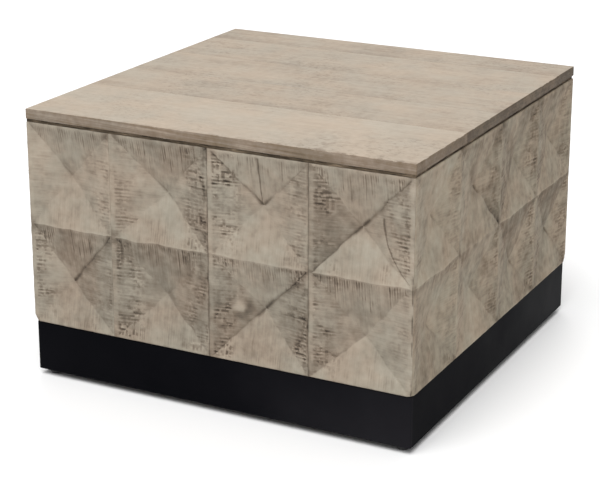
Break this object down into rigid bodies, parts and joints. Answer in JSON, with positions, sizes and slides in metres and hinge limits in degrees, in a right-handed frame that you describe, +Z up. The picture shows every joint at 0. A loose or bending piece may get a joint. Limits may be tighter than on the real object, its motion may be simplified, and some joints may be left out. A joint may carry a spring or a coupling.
{
  "type": "coffee table",
  "caption": "Square block coffee table: a case of planks carved with sunken four-facet hollows on a black steel plinth with levelling feet, under a limed board top.",
  "frame": {"origin": "on the floor under the middle of the table, with the feet screwed in", "axes": "+Z up, the front (the left-hand visible side in the picture) faces -Y, the right-hand visible side faces +X"},
  "size_m": [0.762, 0.762, 0.512],
  "materials": {
    "limed_top": "limed, smooth, matte",
    "carved_planks": "rough-sawn, grey-washed, matte",
    "frame_wood": "plain planed",
    "spacer_black": "black stained",
    "plinth_black": "satin black powder coat",
    "zinc_steel": "zinc plated",
    "foot_nylon": "moulded black"
  },
  "bodies": {
    "table": {"top_board_1": "limed_top", "top_board_2": "limed_top", "top_board_3": "limed_top", "top_board_4": "limed_top", "top_board_5": "limed_top", "top_batten_left": "frame_wood", "top_batten_right": "frame_wood", "spacer_strip_front": "spacer_black", "spacer_strip_right": "spacer_black", "spacer_strip_back": "spacer_black", "spacer_strip_left": "spacer_black", "front_plank_1": "carved_planks", "front_plank_2": "carved_planks", "front_plank_3": "carved_planks", "front_plank_4": "carved_planks", "right_plank_1": "carved_planks", "right_plank_2": "carved_planks", "right_plank_3": "carved_planks", "right_plank_4": "carved_planks", "back_plank_1": "carved_planks", "back_plank_2": "carved_planks", "back_plank_3": "carved_planks", "back_plank_4": "carved_planks", "left_plank_1": "carved_planks", "left_plank_2": "carved_planks", "left_plank_3": "carved_planks", "left_plank_4": "carved_planks", "corner_post_front_left": "frame_wood", "corner_post_front_right": "frame_wood", "corner_post_back_right": "frame_wood", "corner_post_back_left": "frame_wood", "top_rail_front": "frame_wood", "top_rail_right": "frame_wood", "top_rail_back": "frame_wood", "top_rail_left": "frame_wood", "bottom_rail_front": "frame_wood", "bottom_rail_right": "frame_wood", "bottom_rail_back": "frame_wood", "bottom_rail_left": "frame_wood", "floor_panel": "frame_wood", "plinth_skirt_front": "plinth_black", "plinth_skirt_right": "plinth_black", "plinth_skirt_back": "plinth_black", "plinth_skirt_left": "plinth_black", "plinth_bolt_front": "zinc_steel", "plinth_bolt_right": "zinc_steel", "plinth_bolt_back": "zinc_steel", "plinth_bolt_left": "zinc_steel", "foot_gusset_front_left": "plinth_black", "foot_gusset_front_right": "plinth_black", "foot_gusset_back_right": "plinth_black", "foot_gusset_back_left": "plinth_black"},
    "foot_front_left": {"foot_pad_front_left": "foot_nylon", "foot_stem_front_left": "zinc_steel"},
    "foot_front_right": {"foot_pad_front_right": "foot_nylon", "foot_stem_front_right": "zinc_steel"},
    "foot_back_right": {"foot_pad_back_right": "foot_nylon", "foot_stem_back_right": "zinc_steel"},
    "foot_back_left": {"foot_pad_back_left": "foot_nylon", "foot_stem_back_left": "zinc_steel"}
  },
  "joints": [
    {"name": "foot_front_left_height", "type": "slide", "parent": "table", "child": "foot_front_left", "axis": [0, 0, -1], "range_m": [0, 0.012]},
    {"name": "foot_front_right_height", "type": "slide", "parent": "table", "child": "foot_front_right", "axis": [0, 0, -1], "range_m": [0, 0.012]},
    {"name": "foot_back_right_height", "type": "slide", "parent": "table", "child": "foot_back_right", "axis": [0, 0, -1], "range_m": [0, 0.012]},
    {"name": "foot_back_left_height", "type": "slide", "parent": "table", "child": "foot_back_left", "axis": [0, 0, -1], "range_m": [0, 0.012]}
  ]
}
